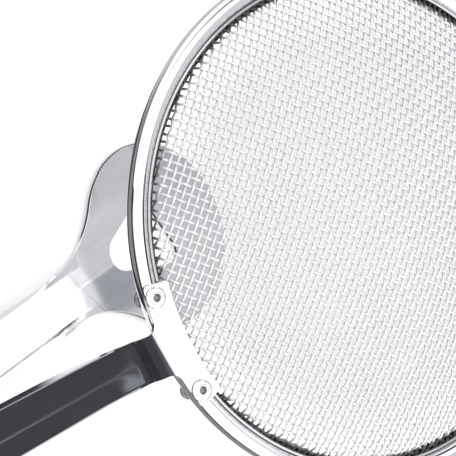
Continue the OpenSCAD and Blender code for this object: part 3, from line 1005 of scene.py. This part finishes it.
def world_light():
    """White light from all round. The metal sees a white room with grey and dark panels instead."""
    world = bpy.data.worlds.new("studio")
    bpy.context.scene.world = world
    world.use_nodes = True
    n = Nodes(world.node_tree)
    direction = n.vector("NORMALIZE", n.add("ShaderNodeTexCoord").outputs["Generated"])
    x, y, z = n.split(direction)
    turn = n.math("ARCTAN2", y, x)
    level = n.math("ARCSINE", z)

    def window(value, low, high, soft):
        low, high, soft = (math.radians(v) for v in (low, high, soft))
        return n.product(n.ramp(value, low - soft, low + soft), n.below(value, high - soft, high + soft))

    def patch(base, turns, levels, tint):
        share = n.product(window(turn, *turns), window(level, *levels))
        return n.mix(share, base, (*tint, 1))

    # each patch: turn round Z from the X axis and height above the horizon, as (from, to, softness) in
    # degrees, and its colour
    colour = (1.0, 1.0, 1.0, 1.0)
    # a grey wall beyond the dish
    colour = patch(colour, (-78, 24, 6), (-95, 70, 3), (0.60, 0.597, 0.62))
    # a darker panel high on that wall
    colour = patch(colour, (-14.2, 6, 1.6), (44.5, 58, 1.5), (0.29, 0.305, 0.325))
    # a dark wall on the Y side
    colour = patch(colour, (45, 112, 6), (-12, 52, 6), (0.05, 0.05, 0.055))
    # a small dark panel beside the high one
    colour = patch(colour, (-34, -24, 2), (41, 64, 4), (0.02, 0.02, 0.03))
    # the half towards the tails is dark
    colour = n.mix(n.below(x, -0.14, 0.02), colour, (0.045, 0.044, 0.05, 1))
    # a blue-grey panel in that dark half
    colour = patch(colour, (-154, -129, 5), (44, 58, 3), (0.205, 0.222, 0.24))
    # a dark round spot high up
    near = n.vector("DOT_PRODUCT", direction, tuple(Vector((-0.309, -0.20, 0.93)).normalized()))
    spot = n.ramp(near, math.cos(math.radians(9)), math.cos(math.radians(2)))
    colour = n.mix(spot, colour, (0.10, 0.10, 0.115, 1))
    plain = n.out("ShaderNodeBackground", (1, 1, 1, 1), 1.0)
    seen = n.out("ShaderNodeBackground", colour, 1.25)
    glossy = n.add("ShaderNodeLightPath").outputs["Is Glossy Ray"]
    n.link(n.out("ShaderNodeMixShader", glossy, plain, seen), n.add("ShaderNodeOutputWorld").inputs[0])


def make_floor():
    """A pale matt floor with the soft shadow of the cloth. The metal sees it as grey, with lighter and
    darker parts round the object."""
    size = 8.0
    mesh = bpy.data.meshes.new("floor")
    around = [(-size, -size, 0), (size, -size, 0), (size, size, 0), (-size, size, 0)]
    mesh.from_pydata(around, [], [(0, 1, 2, 3)])
    floor = bpy.data.objects.new("floor", mesh)
    floor.location.z = -0.0002
    bpy.context.scene.collection.objects.link(floor)
    material = bpy.data.materials.new("floor_paper")
    material.use_nodes = True
    n = Nodes(material.node_tree)
    where = n.add("ShaderNodeTexCoord").outputs["Object"]
    paper = n.ramp(n.noise(where, 40.0, 4.0), 0.3, 0.7, 0.795, 0.805)
    diffuse = n.out("ShaderNodeBsdfDiffuse", n.join(paper, paper, paper))
    lit = n.out("ShaderNodeAddShader", diffuse, n.out("ShaderNodeEmission", (1, 1, 1, 1), 0.36))
    x, y, z = n.split(where)
    off = n.math("ABSOLUTE", y)
    foot_edge = n.ramp(x, -0.0767, 0.07, -0.0078, -0.0069, soft=False)
    foot = n.below(n.math("ADD", off, foot_edge), 0.0001, 0.0004)
    wide = n.product(n.ramp(x, -0.02, 0.0), n.below(x, 0.075, 0.085))
    deep = n.product(n.ramp(y, 0.02, 0.03), n.below(y, 0.13, 0.15))
    from_dish = n.distance(n.math("ADD", x, -0.082), y)
    from_plate = n.distance(n.math("ADD", x, -0.1118), y)
    # what the metal sees: paler beyond the middle, and these parts, each laid over the ones before it
    tone = n.mix(n.below(x, 0.0, 0.05), (0.64, 0.64, 0.65, 1), (0.28, 0.28, 0.29, 1))
    beside_dish = n.product(wide, deep)
    under_handles = n.product(n.below(off, 0.033, 0.038), n.below(x, 0.05, 0.062))
    under_clip = n.product(foot, n.below(x, 0.05, 0.06))
    for share, grey in (
        (beside_dish, (0.08, 0.08, 0.09)),
        (n.below(from_dish, 0.052, 0.06), (0.95, 0.95, 0.96)),  # under the dish
        (under_handles, (0.04, 0.04, 0.045)),
        (n.below(off, 0.0105, 0.0125), (0.85, 0.85, 0.86)),  # beside the clip arm
        # painted contact shadow along the clip arm's foot, seen only in the metal
        (under_clip, (0.08, 0.08, 0.09)),
        # painted contact shadow round the plate's edge, seen only in the metal
        (n.below(from_plate, 0.028, 0.030), (0.08, 0.08, 0.09)),  # under the plate
        (n.below(x, -0.30, -0.15), (0.03, 0.03, 0.033)),  # beyond the tails
    ):
        tone = n.mix(share, tone, (*grey, 1))
    shadow = n.out("ShaderNodeEmission", (0.89, 0.89, 0.89, 1))
    plain = n.out("ShaderNodeMixShader", shadow_share(n, x, y), lit, shadow)
    glossy = n.add("ShaderNodeLightPath").outputs["Is Glossy Ray"]
    seen = n.out("ShaderNodeMixShader", glossy, plain, n.out("ShaderNodeEmission", tone))
    n.link(seen, n.add("ShaderNodeOutputMaterial").inputs["Surface"])
    mesh.materials.append(material)
    floor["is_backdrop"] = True


def soft_box(name, place, target, width, height, brightness, lit, glossy=True):
    """A white panel of that brightness that lights only the pieces in lit, or everything if lit is None."""
    lamp = bpy.data.lights.new(name, "AREA")
    lamp.shape = "RECTANGLE"
    lamp.size, lamp.size_y = width, height
    lamp.energy = brightness * math.pi * width * height
    obj = bpy.data.objects.new(name, lamp)
    obj.location = place
    obj.rotation_mode = "QUATERNION"
    obj.rotation_quaternion = (Vector(target) - Vector(place)).to_track_quat("-Z", "Y")
    obj.visible_camera = False
    obj.visible_glossy = glossy
    bpy.context.scene.collection.objects.link(obj)
    if lit:
        group = bpy.data.collections.new(name + "_lights")
        for piece in lit:
            group.objects.link(piece)
        obj.light_linking.receiver_collection = group


world_light()
make_floor()
soft_box("key", (0.9, -0.5, 1.6), (0.05, 0, 0.05), 1.2, 1.2, 0.6, None, glossy=False)
bright = [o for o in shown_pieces() if o.name.startswith(("rim_", "clamp_", "rivet_", "cloth_", "hinge_"))]
soft_box("over_rim", (-0.75, -0.1, 1.1), (0.03, 0, 0.09), 3.2, 3.2, 1.2, bright)
soft_box("left_of_rim", (-0.1, 1.4, 0.55), (0.05, 0, 0.09), 2.8, 1.3, 1.2, bright)
soft_box("right_of_rim", (-0.5, -1.3, 0.6), (0.03, 0, 0.09), 2.0, 1.5, 1.2, bright)
soft_box("beyond_rim", (1.15, -0.14, 0.95), (0.02, 0, 0.085), 0.38, 1.3, 0.55, [rim, ring])
# a low panel over the clip arm's channel, which ends where the plate begins
CARD_Z, CARD_END = 0.022, 0.0945
cards = (("over_clip", -0.16, CARD_END, 1.2), ("over_clip_end", CARD_END, 0.1, 0.5))
for name, start, end, brightness in cards:
    panel = Vector(((start + end) / 2, -0.015, CARD_Z))
    soft_box(name, panel, panel - Vector((0, 0, 1)), end - start, 0.13, brightness, [clip_arm])
# panels beside the clip arm and close over the bracket tab
soft_box("beside_clip", (0.06, 0.55, 0.16), (0.06, 0.0, 0.003), 0.7, 0.3, 1.0, [clip_arm])
soft_box("over_tab", (0.024, -0.008, 0.125), (0.014, 0.0, 0.084), 0.03, 0.06, 1.0, [strainer_arm])

# -------------------- camera
camera_data = bpy.data.cameras.new("camera")
camera_data.lens = 197.1
camera_data.sensor_width = 36.0
camera_data.clip_start, camera_data.clip_end = 0.02, 60.0
camera = bpy.data.objects.new("camera", camera_data)
right = Vector((0.5881, -0.4317, 0.6838))
upward = Vector((0.4383, 0.8808, 0.1791))
backward = right.cross(upward)
turned = Matrix((right, upward, backward)).transposed().to_4x4()
camera.matrix_world = Matrix.Translation(EYE) @ turned
bpy.context.scene.collection.objects.link(camera)
bpy.context.scene.camera = camera
bpy.context.scene.view_settings.view_transform = "Standard"
bpy.context.scene.view_settings.look = "None"
bpy.context.scene.cycles.max_bounces = 12
